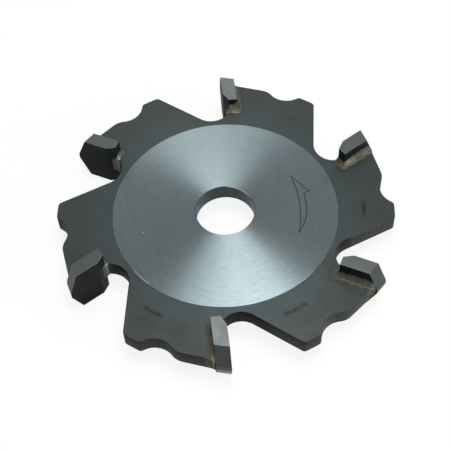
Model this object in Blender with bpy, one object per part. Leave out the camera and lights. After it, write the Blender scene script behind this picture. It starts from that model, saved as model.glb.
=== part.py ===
"""A grooving saw blade: a toothed steel plate with six V-ground carbide tips brazed into it.

The bore axis is +Z and the plate's middle plane is z = 0. Seen from +Z the blade cuts
anticlockwise, and the first tooth's cutting apex lies on +Y. Lengths are in metres and angles
in degrees.
"""

from math import acos, atan2, ceil, cos, pi, radians, sin, sqrt, tan

import bmesh
import bpy
from mathutils import Vector

# Cutting circle and teeth
TOOTH_COUNT = 6
CUTTING_RADIUS = 0.0590       # bore axis to the apex of a tip
GROOVE_WIDTH = 0.0180         # width of a tip along the bore axis
GROOVE_ANGLE = 135.0          # angle between the two slopes of the V
APEX_FLAT = 0.0020            # flat at the bottom of the V
HOOK_ANGLE = 5.0              # lean of the rake face into the cut
CLEARANCE_ANGLE = 11.0        # fall of the ground edge behind the apex
SIDE_RELIEF_ANGLE = 1.5       # narrowing of a tip towards its back

# Carbide tip blank
TIP_THICKNESS = 0.00485
TIP_LENGTH = 0.0146           # apex to inner end, along the rake face
NOSE_THICKNESS = 0.00172      # chamfer at the inner front corner, across the blank
NOSE_LENGTH = 0.00315         # the same chamfer, along the rake face

# Steel plate and clamping land
PLATE_THICKNESS = 0.0060
LAND_HEIGHT = 0.0001          # the ground land stands this far proud of each face
LAND_MARGIN = 0.00215         # from the land's edge out to the gullet roots
BORE_RADIUS = 0.0100
BORE_CHAMFER = 0.0002

# Gullet in front of each tooth
GULLET_DEPTH = 0.0187         # cutting circle down to the gullet root
GULLET_RADIUS = 0.0069
GULLET_LEAD = 0.0034          # gullet centre ahead of the cutting apex
GULLET_BACK_ANGLE = 35.0      # slope of the straight side opposite the tooth

# Rim behind each tooth: a sloping back, a notch and the limiter in front of the next gullet
BACK_DROP = 0.0030            # closest approach of the sloping back to the cutting circle
BACK_ANGLE = 16.7             # slope of the back
NOTCH_DEPTH = 0.0055          # cutting circle down to the notch
NOTCH_RADIUS = 0.0070
NOTCH_BLEND = 0.0060          # rounding where the back runs into the notch
LIMITER_DROP = 0.00187        # cutting circle down to the limiter
LIMITER_LENGTH = 0.0045       # length of the limiter's rounded top
CORNER_ROUNDING = 0.0016      # rounding at both ends of the limiter

# Brazed joint
JOINT_CLEARANCE = 0.0003      # braze to tip, and braze to plate
BRAZE_THICKNESS = 0.0003
POCKET_ROUNDING = 0.0008      # rounding in the pocket's back corner
BEAD_WIDTH = 0.0020           # bead across the plate's face
BEAD_HEIGHT = 0.0028          # bead up the side of the tip
BEAD_LIP = 0.0004             # thickness of the bead's outer edge
BEAD_WAIST = (0.45, 0.40)     # the bead's hollow slope, as shares of its width and height
NOSE_BRAZE = 0.0018           # braze up the nose chamfer, where no plate lies in front
NOSE_BEAD_HEIGHT = 0.0012     # bead up the side of the tip at that end

# Fineness of round stretches
CIRCLE_SEGMENTS = 96
ARC_STEP = 6.0
SAME_POINT = 1.0e-6           # points closer than this are one

# Values that follow from the sizes above
PITCH = 2.0 * pi / TOOTH_COUNT
GULLET_ROOT = CUTTING_RADIUS - GULLET_DEPTH
LAND_RADIUS = GULLET_ROOT - LAND_MARGIN
LIMITER_RADIUS = CUTTING_RADIUS - LIMITER_DROP
SEAT_GAP = 2.0 * JOINT_CLEARANCE + BRAZE_THICKNESS
HALF_PLATE = PLATE_THICKNESS / 2.0
CENTRE = Vector((0.0, 0.0))

# Directions in the plane of the blade, for the tooth whose apex is on +Y
HOOK = radians(HOOK_ANGLE)
TIP_BACK = Vector((cos(HOOK), sin(HOOK)))
TIP_INWARD = Vector((sin(HOOK), -cos(HOOK)))
APEX = Vector((0.0, CUTTING_RADIUS))


def clear_scene():
    for item in list(bpy.data.objects):
        bpy.data.objects.remove(item, do_unlink=True)


def make_material(name, colour, roughness, metallic):
    material = bpy.data.materials.new(name)
    material.use_nodes = True
    shader = material.node_tree.nodes["Principled BSDF"]
    shader.inputs["Base Color"].default_value = (*colour, 1.0)
    shader.inputs["Roughness"].default_value = roughness
    shader.inputs["Metallic"].default_value = metallic
    return material


def add_object(name, mesh, material, parent, turn=0.0):
    item = bpy.data.objects.new(name, mesh)
    item.rotation_euler = (0.0, 0.0, turn)
    item.parent = parent
    if not mesh.materials:
        mesh.materials.append(material)
    bpy.context.scene.collection.objects.link(item)
    return item


def finish_mesh(bm, name):
    """Turns a closed bmesh into a mesh whose faces point outwards."""
    bmesh.ops.recalc_face_normals(bm, faces=bm.faces)
    mesh = bpy.data.meshes.new(name)
    bm.to_mesh(mesh)
    bm.free()
    return mesh


def turned(point, angle):
    """A point of the plane turned clockwise about the bore axis."""
    return Vector((point.x * cos(angle) + point.y * sin(angle),
                   point.y * cos(angle) - point.x * sin(angle)))


def angle_behind(point):
    """Clockwise angle of a point from +Y."""
    return atan2(point.x, point.y)


def meet(point_a, along_a, point_b, along_b):
    """Where two straight lines cross."""
    between = point_b - point_a
    return point_a + along_a * (between.cross(along_b) / along_a.cross(along_b))


def line_to_circle(point, along, centre, radius):
    """How far along a line it leaves the circle, past the point nearest the centre."""
    middle = (centre - point).dot(along)
    nearest = (point + along * middle - centre).length
    return middle + sqrt(radius ** 2 - nearest ** 2)


def arc(centre, start, end, clockwise):
    """Points from start to end round a centre, both ends included."""
    radius = (start - centre).length
    first = atan2(start.y - centre.y, start.x - centre.x)
    last = atan2(end.y - centre.y, end.x - centre.x)
    sweep = (first - last if clockwise else last - first) % (2.0 * pi)
    steps = max(2, ceil(sweep / radians(ARC_STEP)))
    sign = -1.0 if clockwise else 1.0
    angles = [first + sign * sweep * step / steps for step in range(steps + 1)]
    return [centre + Vector((cos(a), sin(a))) * radius for a in angles]


def tip_point(behind, below):
    """A point of the blade's plane, measured from the apex across and along the tip."""
    return APEX + TIP_BACK * behind + TIP_INWARD * below


def nose_direction():
    """Unit vectors along the nose chamfer, from rake face to inner end, and out of it."""
    along = (TIP_BACK * NOSE_THICKNESS + TIP_INWARD * NOSE_LENGTH).normalized()
    return along, Vector((along.y, -along.x))


def gullet_centre():
    distance = GULLET_ROOT + GULLET_RADIUS
    return Vector((-GULLET_LEAD, sqrt(distance ** 2 - GULLET_LEAD ** 2)))


def seat_front():
    """Where the plate begins under the tip's nose: the gullet's end, then the pocket's front.

    A gullet that takes in the pocket's front corner ends on the floor. A shallower one ends
    on the wall that lies a joint's width off the nose chamfer.
    """
    along, nose_out = nose_direction()
    centre = gullet_centre()
    wall = tip_point(NOSE_THICKNESS, TIP_LENGTH) + nose_out * SEAT_GAP
    floor = tip_point(0.0, TIP_LENGTH + SEAT_GAP)
    corner = meet(wall, along, floor, TIP_BACK)
    if (corner - centre).length > GULLET_RADIUS:
        return [wall + along * line_to_circle(wall, along, centre, GULLET_RADIUS), corner]
    return [floor + TIP_BACK * line_to_circle(floor, TIP_BACK, centre, GULLET_RADIUS)]


def gullet_outline():
    """From the limiter of the tooth in front, down the gullet and up to the pocket."""
    slope = radians(GULLET_BACK_ANGLE)
    uphill = Vector((-cos(slope), sin(slope)))
    into_plate = Vector((-sin(slope), -cos(slope)))
    centre = gullet_centre()
    tangent = centre + into_plate * GULLET_RADIUS
    start = tangent + into_plate * CORNER_ROUNDING
    reach = line_to_circle(start, uphill, CENTRE, LIMITER_RADIUS - CORNER_ROUNDING)
    corner = start + uphill * reach
    on_limiter = corner.normalized() * LIMITER_RADIUS
    on_slope = corner - into_plate * CORNER_ROUNDING
    front = seat_front()
    return (arc(corner, on_limiter, on_slope, clockwise=True)
            + arc(centre, tangent, front[0], clockwise=False) + front[1:])


def pocket_corner():
    """The rounding between the pocket's floor and back wall, a joint's width off the tip."""
    inset = SEAT_GAP - POCKET_ROUNDING
    bend = tip_point(TIP_THICKNESS + inset, TIP_LENGTH + inset)
    return arc(bend, bend + TIP_INWARD * POCKET_ROUNDING,
               bend + TIP_BACK * POCKET_ROUNDING, clockwise=False)


def back_line():
    """Unit normal of the sloping back and its distance from the bore axis."""
    slope = radians(BACK_ANGLE)
    return Vector((sin(slope), cos(slope))), CUTTING_RADIUS - BACK_DROP


def rim_outline(limiter_end):
    """From the pocket along the sloping back and through the notch onto the limiter."""
    normal, distance = back_line()
    downhill = Vector((normal.y, -normal.x))
    back_wall = tip_point(TIP_THICKNESS + SEAT_GAP, 0.0)
    crest = meet(back_wall, TIP_INWARD, normal * distance, downhill)

    blend_radius = LIMITER_RADIUS - CORNER_ROUNDING
    blend_angle = limiter_end - LIMITER_LENGTH / LIMITER_RADIUS
    far_blend = turned(Vector((0.0, blend_radius)), blend_angle)
    notch_distance = CUTTING_RADIUS - NOTCH_DEPTH + NOTCH_RADIUS
    reach = NOTCH_RADIUS + CORNER_ROUNDING
    apart = acos((blend_radius ** 2 + notch_distance ** 2 - reach ** 2)
                 / (2.0 * blend_radius * notch_distance))
    notch = turned(Vector((0.0, notch_distance)), blend_angle - apart)

    inner_line = normal * (distance - NOTCH_BLEND)
    near_reach = line_to_circle(inner_line, -downhill, notch, NOTCH_RADIUS + NOTCH_BLEND)
    near_blend = inner_line - downhill * near_reach

    enter = notch + (near_blend - notch).normalized() * NOTCH_RADIUS
    leave = notch + (far_blend - notch).normalized() * NOTCH_RADIUS
    return ([crest]
            + arc(near_blend, near_blend + normal * NOTCH_BLEND, enter, clockwise=True)
            + arc(notch, enter, leave, clockwise=False)
            + arc(far_blend, leave, far_blend.normalized() * LIMITER_RADIUS, clockwise=True))


def tooth_outline():
    """One tooth's share of the rim, clockwise, up to the start of the next gullet."""
    gullet = gullet_outline()
    next_gullet = turned(gullet[0], PITCH)
    rim = rim_outline(angle_behind(gullet[0]) + PITCH)
    limiter = arc(CENTRE, rim[-1], next_gullet, clockwise=True)
    return gullet + pocket_corner() + rim + limiter[:-1]


def without_repeats(points):
    """Drops points that lie on the one before, as the last does on the first."""
    kept = []
    for point in points:
        if not kept or (point - kept[-1]).length > SAME_POINT:
            kept.append(point)
    if (kept[0] - kept[-1]).length < SAME_POINT:
        kept.pop()
    return kept


def add_loop(bm, points, z):
    return [bm.verts.new((point.x, point.y, z)) for point in points]


def join_loops(bm, lower, upper):
    """A band of four-sided faces between two closed loops of as many points."""
    count = len(lower)
    for here in range(count):
        there = (here + 1) % count
        bm.faces.new((lower[here], lower[there], upper[there], upper[here]))


def fill_between(bm, outer, inner):
    """Fills the flat ring between an outline and the loop inside it."""
    edges = []
    for loop in (outer, inner):
        edges += [bm.edges.get((loop[i - 1], loop[i])) for i in range(len(loop))]
    bmesh.ops.triangle_fill(bm, edges=edges, use_beauty=True, use_dissolve=False)


def circle(radius):
    return [turned(Vector((0.0, radius)), 2.0 * pi * step / CIRCLE_SEGMENTS)
            for step in range(CIRCLE_SEGMENTS)]


def blade_body_mesh():
    """The plate: toothed rim, a ground land proud of each face, and a chamfered bore."""
    outline = []
    tooth = tooth_outline()
    for number in range(TOOTH_COUNT):
        outline += [turned(point, number * PITCH) for point in tooth]
    outline = without_repeats(outline)

    bm = bmesh.new()
    land_top = HALF_PLATE + LAND_HEIGHT
    rims, lands, throats = [], [], []
    for side in (-1.0, 1.0):
        rim = add_loop(bm, outline, side * HALF_PLATE)
        foot = add_loop(bm, circle(LAND_RADIUS), side * HALF_PLATE)
        edge = add_loop(bm, circle(LAND_RADIUS), side * land_top)
        mouth = add_loop(bm, circle(BORE_RADIUS + BORE_CHAMFER), side * land_top)
        throat = add_loop(bm, circle(BORE_RADIUS), side * (land_top - BORE_CHAMFER))
        join_loops(bm, foot, edge)
        join_loops(bm, edge, mouth)
        join_loops(bm, mouth, throat)
        rims.append(rim)
        lands.append(foot)
        throats.append(throat)
    join_loops(bm, rims[0], rims[1])
    join_loops(bm, throats[0], throats[1])
    fill_between(bm, rims[0], lands[0])
    fill_between(bm, rims[1], lands[1])
    return finish_mesh(bm, "blade_body")


def carbide_tip_mesh():
    """A chamfered blank whose outer end is ground to a V that falls away behind the apex."""
    half_front = GROOVE_WIDTH / 2.0
    half_back = half_front - TIP_THICKNESS * tan(radians(SIDE_RELIEF_ANGLE))
    half_nose = half_front - NOSE_THICKNESS * tan(radians(SIDE_RELIEF_ANGLE))
    half_flat = APEX_FLAT / 2.0
    v_slope = tan(radians(180.0 - GROOVE_ANGLE) / 2.0)
    fall = TIP_THICKNESS * tan(radians(CLEARANCE_ANGLE) + HOOK)
    front_shoulder = (half_front - half_flat) * v_slope
    back_shoulder = fall + (half_back - half_flat) * v_slope

    bm = bmesh.new()

    def corner(behind, below, z):
        place = tip_point(behind, below)
        return bm.verts.new((place.x, place.y, z))

    sides = []
    for side in (1.0, -1.0):
        sides.append({
            "heel": corner(0.0, TIP_LENGTH - NOSE_LENGTH, side * half_front),
            "shoulder": corner(0.0, front_shoulder, side * half_front),
            "apex": corner(0.0, 0.0, side * half_flat),
            "apex_back": corner(TIP_THICKNESS, fall, side * half_flat),
            "shoulder_back": corner(TIP_THICKNESS, back_shoulder, side * half_back),
            "base_back": corner(TIP_THICKNESS, TIP_LENGTH, side * half_back),
            "base_front": corner(NOSE_THICKNESS, TIP_LENGTH, side * half_nose),
        })
    top, under = sides
    across = (("heel", "base_front"), ("base_front", "base_back"), ("apex", "apex_back"))
    for first, second in across:
        bm.faces.new((top[first], top[second], under[second], under[first]))
    for side in sides:
        bm.faces.new([side[name] for name in
                      ("heel", "shoulder", "shoulder_back", "base_back", "base_front")])
        bm.faces.new([side[name] for name in
                      ("shoulder", "apex", "apex_back", "shoulder_back")])
    for names in (("heel", "shoulder", "apex"), ("base_back", "shoulder_back", "apex_back")):
        bm.faces.new([top[name] for name in names] + [under[name] for name in reversed(names)])
    return finish_mesh(bm, "carbide_tip")


def braze_stations():
    """Places on the tip's outline along the joint, each with its way out of the tip.

    The other two values are the width and the height that the bead has there.
    """
    along, nose_out = nose_direction()
    nose_foot = tip_point(NOSE_THICKNESS, TIP_LENGTH)
    base_corner = tip_point(TIP_THICKNESS, TIP_LENGTH)

    stations = [(nose_foot - along * NOSE_BRAZE, nose_out, SEAT_GAP, NOSE_BEAD_HEIGHT)]
    for corner, first, last in ((nose_foot, nose_out, TIP_INWARD),
                                (base_corner, TIP_INWARD, TIP_BACK)):
        bend = arc(corner, corner + first, corner + last, clockwise=False)
        outs = [point - corner for point in bend[::2]]
        if bend[::2][-1] != bend[-1]:
            outs.append(last)
        stations += [(corner, out, room_ahead(corner, out), BEAD_HEIGHT) for out in outs]

    normal, distance = back_line()
    downhill = Vector((normal.y, -normal.x))
    inset_back = normal * (distance - JOINT_CLEARANCE)
    back_wall = tip_point(TIP_THICKNESS, 0.0)
    back_end = meet(back_wall, TIP_INWARD, inset_back, downhill)
    along_rim = downhill / downhill.dot(TIP_BACK)
    stations.append((back_end, along_rim, SEAT_GAP + BEAD_WIDTH, BEAD_HEIGHT))
    return stations


def room_ahead(place, out):
    """Width left for the joint and its bead before the front of the plate."""
    full = SEAT_GAP + BEAD_WIDTH
    if out.x >= 0.0:
        return full
    front_x = seat_front()[-1].x - JOINT_CLEARANCE
    return min(full, max(SEAT_GAP, (place.x - front_x) / -out.x))


def braze_section(room, height):
    """Section of the joint as (distance from the tip, height), round from the upper bead."""
    inner = JOINT_CLEARANCE
    outer = JOINT_CLEARANCE + BRAZE_THICKNESS
    foot = HALF_PLATE + JOINT_CLEARANCE
    waist_width, waist_height = BEAD_WAIST
    bead = [(room, foot),
            (room, foot + BEAD_LIP),
            (inner + (room - inner) * waist_width, foot + height * waist_height),
            (inner, foot + height)]
    upper = [(outer, foot)] + bead
    return upper + [(s, -z) for s, z in reversed(upper)]


def braze_joint_mesh():
    """Braze round the seated part of a tip: a seam through the plate with a bead each side."""
    bm = bmesh.new()
    rings = []
    for place, out, room, height in braze_stations():
        ring = []
        for distance, z in braze_section(room, height):
            point = place + out * distance
            ring.append(bm.verts.new((point.x, point.y, z)))
        rings.append(ring)
    for near, far in zip(rings, rings[1:]):
        join_loops(bm, near, far)
    bm.faces.new(rings[0])
    bm.faces.new(rings[-1])
    return finish_mesh(bm, "braze_joint")


def build():
    clear_scene()
    plate_steel = make_material("plate_steel", (0.075, 0.090, 0.090), 0.45, 0.9)
    carbide = make_material("ground_carbide", (0.150, 0.165, 0.165), 0.35, 0.8)
    braze = make_material("braze_alloy", (0.200, 0.205, 0.140), 0.55, 0.7)

    saw_blade = bpy.data.objects.new("saw_blade", None)
    bpy.context.scene.collection.objects.link(saw_blade)

    add_object("blade_body", blade_body_mesh(), plate_steel, saw_blade)
    tip_mesh = carbide_tip_mesh()
    joint_mesh = braze_joint_mesh()
    for number in range(TOOTH_COUNT):
        turn = number * PITCH
        add_object(f"carbide_tip_{number + 1}", tip_mesh, carbide, saw_blade, turn)
        add_object(f"braze_joint_{number + 1}", joint_mesh, braze, saw_blade, turn)


build()
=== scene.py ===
"""A grooving saw blade dressed for the studio: ground steel, brazed carbide and a white table.

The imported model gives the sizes. The blade lies flat on its tips, with the bore axis on +Z
and the first tooth's cutting apex on +Y. Lengths are in metres.
"""

from math import ceil, cos, hypot, pi, radians, sin

import bmesh
import bpy
from bpy.props import FloatProperty, FloatVectorProperty, IntProperty, PointerProperty
from mathutils import Matrix, Vector


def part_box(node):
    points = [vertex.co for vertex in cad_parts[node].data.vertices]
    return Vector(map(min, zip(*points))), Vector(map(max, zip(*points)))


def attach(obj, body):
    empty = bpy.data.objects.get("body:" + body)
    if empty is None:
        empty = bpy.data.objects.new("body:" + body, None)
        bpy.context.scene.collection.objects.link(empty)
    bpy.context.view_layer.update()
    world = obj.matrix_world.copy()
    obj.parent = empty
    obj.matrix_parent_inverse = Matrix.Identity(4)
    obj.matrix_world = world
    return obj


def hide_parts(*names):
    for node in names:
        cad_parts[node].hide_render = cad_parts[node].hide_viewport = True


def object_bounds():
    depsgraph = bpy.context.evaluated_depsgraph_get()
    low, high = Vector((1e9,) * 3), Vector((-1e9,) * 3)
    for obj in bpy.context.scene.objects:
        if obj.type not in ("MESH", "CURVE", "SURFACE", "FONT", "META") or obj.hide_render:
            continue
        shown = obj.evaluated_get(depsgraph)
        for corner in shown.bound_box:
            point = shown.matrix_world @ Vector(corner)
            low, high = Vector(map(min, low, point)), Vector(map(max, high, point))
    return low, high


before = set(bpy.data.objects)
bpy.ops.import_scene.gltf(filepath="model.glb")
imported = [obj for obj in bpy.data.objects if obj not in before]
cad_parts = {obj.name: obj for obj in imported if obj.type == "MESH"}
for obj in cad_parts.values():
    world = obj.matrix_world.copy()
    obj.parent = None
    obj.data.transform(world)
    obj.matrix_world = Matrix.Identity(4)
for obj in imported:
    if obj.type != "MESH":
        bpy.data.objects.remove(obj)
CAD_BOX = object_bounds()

bl_info = {
    "name": "Grooving Saw Blade",
    "version": (1, 0, 0),
    "blender": (4, 5, 0),
    "location": "3D View > Sidebar > Saw Blade",
    "description": "Dresses a grooving saw blade with ground, brazed and laser cut finishes",
    "category": "Object",
}

MM = 0.001
TIPS = sorted(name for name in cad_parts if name.startswith("carbide_tip_"))
JOINTS = sorted(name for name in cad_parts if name.startswith("braze_joint_"))
PITCH = 2.0 * pi / len(TIPS)
LAND_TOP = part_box("blade_body")[1].z
SAME_POINT = 1.0e-6
SAME_PLANE = radians(0.5)
FLAT_FACE = 0.999
SHARPEST_MITRE = 0.4

# Where the photographer stood: place, tilt, roll and turn about the bore axis, and lens
VIEW_SPOT = Vector((1.714, -214.41, 295.66)) * MM
VIEW_TILT = radians(35.45)
VIEW_ROLL = radians(-3.148)
VIEW_TURN = radians(0.544)
VIEW_LENS_MM = 85.75


# Settings

def length(name, text, default):
    return FloatProperty(name=name, description=text, default=default, min=0.0,
                         subtype="DISTANCE", unit="LENGTH", precision=5)


def share(name, text, default):
    return FloatProperty(name=name, description=text, default=default, min=0.0, max=1.0,
                         subtype="FACTOR")


def colour(name, text, default):
    return FloatVectorProperty(name=name, description=text, default=default, size=3,
                               min=0.0, max=1.0, subtype="COLOR")


class PlateSettings(bpy.types.PropertyGroup):
    edge_rounding: length("Edge rounding", "Rounding along the edges of the plate", 0.20 * MM)
    land_rounding: length("Land rounding", "Rounding along the edge of the land", 0.05 * MM)
    line_width: length("Arrow line", "Width of the engraved arrow's line", 0.34 * MM)
    line_depth: length("Arrow depth", "Depth of the engraved arrow's line", 0.04 * MM)
    land_colour: colour("Land", "Ground steel of the clamping land", (0.184, 0.231, 0.245))
    face_colour: colour("Face", "Blasted steel of the toothed zone", (0.046, 0.058, 0.056))
    edge_colour: colour("Cut edge", "Laser cut steel of the rim", (0.044, 0.048, 0.045))
    bore_colour: colour("Bore", "Reamed steel of the bore", (0.034, 0.047, 0.054))
    haze_colour: colour("Haze", "Flux stain round the brazed pockets", (0.054, 0.053, 0.042))
    smear_colour: colour("Smear", "Braze smeared on the rim by the pockets", (0.110, 0.106, 0.080))
    mark_colour: colour("Engraving", "Burnt floor of the engraved line", (0.020, 0.026, 0.028))
    brushing: share("Brushing", "Strength of the land's circular grinding", 0.90)


class TipSettings(bpy.types.PropertyGroup):
    count: IntProperty(name="Tips", description="Carbide tips round the blade",
                       default=len(TIPS), min=1, max=24)
    edge_rounding: length("Edge rounding", "Rounding along the edges of a tip", 0.07 * MM)
    side_colour: colour("Side", "Ground side of a tip", (0.102, 0.116, 0.115))
    # The rake and back colours are partly the carbide's own grinding and partly painted shade of
    # faces turned from the lamps
    rake_colour_and_shade: colour("Rake face", "Ground rake face of a tip", (0.016, 0.019, 0.018))
    flank_colour: colour("Flank", "Ground V behind the cutting edge", (0.055, 0.064, 0.060))
    back_colour_and_shade: colour("Blank", "Unground back of a tip", (0.009, 0.012, 0.012))


class BrazeSettings(bpy.types.PropertyGroup):
    lump_size: length("Lump size", "Distance between the lumps of the bead", 1.5 * MM)
    lump_height: length("Lump height", "Height of the lumps of the bead", 0.10 * MM)
    pit_size: length("Pit size", "Distance between the fine pits of the bead", 0.50 * MM)
    pit_depth: length("Pit depth", "Depth of the fine pits of the bead", 0.05 * MM)
    alloy_colour: colour("Braze", "Dull braze alloy", (0.084, 0.086, 0.063))
    bright_colour: colour("Clean braze", "Braze where it stayed clean", (0.300, 0.300, 0.215))
    flux_colour: colour("Flux", "Burnt flux left on the braze", (0.046, 0.042, 0.027))


class StudioSettings(bpy.types.PropertyGroup):
    key_strength: FloatProperty(name="Key light", description="Power of the lamp overhead",
                                default=2.7, min=0.0, unit="POWER")
    side_strength: FloatProperty(name="Side light", description="Power of the lamp on the right",
                                 default=2.0, min=0.0, unit="POWER")
    room_level: share("Room light", "Light from the room around the table", 0.25)
    ceiling_level: share("Ceiling", "Brightness of the grey ceiling over the white walls", 0.41)
    table_bounce: share("Table bounce", "How much light the table throws back", 0.35)
    shadow_depth: share("Shadow", "Depth of the shadow on the table", 0.15)


# Node tools

class Field:
    """What a node gives; arithmetic with it adds nodes to the same tree."""

    def __init__(self, socket):
        self.socket = socket

    def __add__(self, other):
        return calc("ADD", self, other)

    def __sub__(self, other):
        return calc("SUBTRACT", self, other)

    def __mul__(self, other):
        return calc("MULTIPLY", self, other)

    def __truediv__(self, other):
        return calc("DIVIDE", self, other)

    def __abs__(self):
        return calc("ABSOLUTE", self)


def add_node(tree, kind, inputs=None, **settings):
    """Adds a node, sets its options and fills its inputs with values or fields."""
    node = tree.nodes.new(kind)
    for name, value in settings.items():
        setattr(node, name, value)
    for key, value in (inputs or {}).items():
        if isinstance(value, Field):
            tree.links.new(value.socket, node.inputs[key])
        else:
            node.inputs[key].default_value = value
    return node


def source(tree, kind, output=0, inputs=None, **settings):
    """The field that a new node gives."""
    return Field(add_node(tree, kind, inputs, **settings).outputs[output])


def field(kind, inputs, output=0, **settings):
    """The field that a new node gives, in the tree of the fields among its inputs."""
    tree = next(value.socket.id_data for value in inputs.values() if isinstance(value, Field))
    return source(tree, kind, output, inputs, **settings)


def feed(node, key, value):
    node.id_data.links.new(value.socket, node.inputs[key])


def calc(operation, *values):
    return field("ShaderNodeMath", dict(enumerate(values)), operation=operation)


def vector_calc(operation, *values):
    single = operation in ("LENGTH", "DISTANCE", "DOT_PRODUCT")
    return field("ShaderNodeVectorMath", dict(enumerate(values)),
                 "Value" if single else "Vector", operation=operation)


def scaled(vector, amount):
    """The vector times one amount."""
    return field("ShaderNodeVectorMath", {"Vector": vector, "Scale": amount}, "Vector",
                 operation="SCALE")


def stretch(value, low, high, first=0.0, last=1.0, curve="LINEAR"):
    """Runs evenly from first to last while value goes from low to high."""
    return field("ShaderNodeMapRange", {"Value": value, "From Min": low, "From Max": high,
                 "To Min": first, "To Max": last}, "Result", interpolation_type=curve)


def step_between(*given):
    """Runs smoothly from first to last while value goes from low to high."""
    return stretch(*given, curve="SMOOTHSTEP")


def mix(amount, first, second, blend="MIX"):
    """Mixes two colours; each is a field or three numbers."""
    colours = [c if isinstance(c, Field) else (*c, 1.0) for c in (first, second)]
    return field("ShaderNodeMix", {0: amount, 6: colours[0], 7: colours[1]}, 2,
                 data_type="RGBA", blend_type=blend)


def shaded(base, *factors):
    """A colour made lighter or darker, by one factor or by one for each channel."""
    return [value * factor for value, factor in zip(base, factors * 3)]


def mottled(grain, base, dark, light, low=0.3, high=0.7):
    """A colour that goes from a darker to a lighter shade of itself with the grain."""
    return mix(stretch(grain, low, high), shaded(base, dark), shaded(base, light))


def noise(where, scale, detail=2.0, roughness=0.5, distortion=0.0):
    return field("ShaderNodeTexNoise", {"Vector": where, "Scale": scale, "Detail": detail,
                 "Roughness": roughness, "Distortion": distortion})


def height_of(where):
    return field("ShaderNodeSeparateXYZ", {0: where}, "Z")


def radius_and_direction(where):
    flat = vector_calc("MULTIPLY", where, (1.0, 1.0, 0.0))
    return vector_calc("LENGTH", flat), vector_calc("NORMALIZE", flat)


def sector(where, middle, outer, inner, strength):
    """Strength near an angle round the axis; it fades from inner to outer degrees away."""
    _, direction = radius_and_direction(where)
    facing = vector_calc("DOT_PRODUCT", direction, (*polar(1.0, middle), 0.0))
    return step_between(facing, cos(radians(outer)), cos(radians(inner)), 0.0, strength)


def ring_grain(where, fine, long):
    """A place to read noise at, so that it runs round the bore axis like grinding marks."""
    radius, direction = radius_and_direction(where)
    outward = field("ShaderNodeCombineXYZ", {"Z": radius * fine})
    return vector_calc("ADD", scaled(direction, long), outward)


def tooth_place(where):
    """The place seen from its own tooth: across, out along it, radius, angle and number."""
    x, y = (field("ShaderNodeSeparateXYZ", {0: where}, axis) for axis in "XY")
    angle = calc("ARCTAN2", x, y)
    turns = calc("ROUND", angle / PITCH)
    folded = angle - turns * PITCH
    radius, _ = radius_and_direction(where)
    across = radius * calc("SINE", folded)
    along = radius * calc("COSINE", folded)
    return across, along, radius, folded, calc("FLOORED_MODULO", turns * -1.0, len(TIPS))


def by_tooth(number, values, unit=1.0):
    """The value of the tooth with this number, from a list that starts at the first."""
    total = 0.0
    for k, value in enumerate(values):
        total = calc("COMPARE", number, float(k), 0.5) * (value * unit) + total
    return total


def box_distance(across, along, low, high):
    """Distance outside a rectangle that is given by two corners in millimetres."""
    gaps = []
    for value, *ends in ((across, low[0], high[0]), (along, low[1], high[1])):
        lower, upper = (end * MM for end in ends)
        gap = abs(value - (lower + upper) / 2.0) - (upper - lower) / 2.0
        gaps.append(calc("MAXIMUM", gap, 0.0))
    return calc("SQRT", gaps[0] * gaps[0] + gaps[1] * gaps[1])


def new_finish(name, roughness, metallic, specular=0.5, anisotropic=0.0):
    """A material, its shader with the even values set, and the place on the part."""
    material = bpy.data.materials.new(name)
    material.use_nodes = True
    shader = material.node_tree.nodes["Principled BSDF"]
    for socket, value in (("Roughness", roughness), ("Metallic", metallic),
                          ("Specular IOR Level", specular), ("Anisotropic", anisotropic)):
        shader.inputs[socket].default_value = value
    return material, shader, source(material.node_tree, "ShaderNodeTexCoord", "Object")


def paint(shader, tone, roughness=None):
    """Gives a shader its colour, and its roughness where that varies."""
    feed(shader, "Base Color", tone)
    if roughness:
        feed(shader, "Roughness", roughness)


def bump(shader, height, strength, distance):
    feed(shader, "Normal", field("ShaderNodeBump", {"Strength": strength, "Height": height,
                                                    "Distance": distance}, "Normal"))


def ground_round(shader):
    """Turns the gloss of a finish to the circular grinding round the bore axis."""
    shader.inputs["Anisotropic Rotation"].default_value = 0.25
    feed(shader, "Tangent", source(shader.id_data, "ShaderNodeTangent", "Tangent",
                                   direction_type="RADIAL", axis="Z"))


def new_group(name, shape, values):
    """A geometry tree that takes and gives a shape, and takes named values of given kinds.

    Returns the tree, its inputs as fields, its last node and the identifiers of the values.
    """
    tree = bpy.data.node_groups.new(name, "GeometryNodeTree")
    tree.is_modifier = True
    kinds = {shape: "NodeSocketGeometry", **values}
    sockets = [tree.interface.new_socket(label, in_out="INPUT", socket_type=kind)
               for label, kind in kinds.items()]
    tree.interface.new_socket(shape, in_out="OUTPUT", socket_type="NodeSocketGeometry")
    first = tree.nodes.new("NodeGroupInput")
    given = {label: Field(first.outputs[label]) for label in kinds}
    last = tree.nodes.new("NodeGroupOutput")
    return tree, given, last, [socket.identifier for socket in sockets[1:]]


# Mesh tools

def merged_copy(node_name):
    """The mesh of a CAD node with its loose triangles joined into whole faces."""
    bm = bmesh.new()
    bm.from_mesh(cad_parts[node_name].data)
    bmesh.ops.remove_doubles(bm, verts=bm.verts, dist=SAME_POINT)
    bmesh.ops.dissolve_limit(bm, angle_limit=SAME_PLANE, verts=bm.verts, edges=bm.edges)
    return bm


def to_mesh(bm, name):
    mesh = bpy.data.meshes.new(name)
    bm.to_mesh(mesh)
    bm.free()
    return mesh


def new_item(name, data):
    item = bpy.data.objects.new(name, data)
    bpy.context.scene.collection.objects.link(item)
    return item


def new_piece(mesh, materials=()):
    for material in materials:
        mesh.materials.append(material)
    return new_item(mesh.name, mesh)


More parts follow.
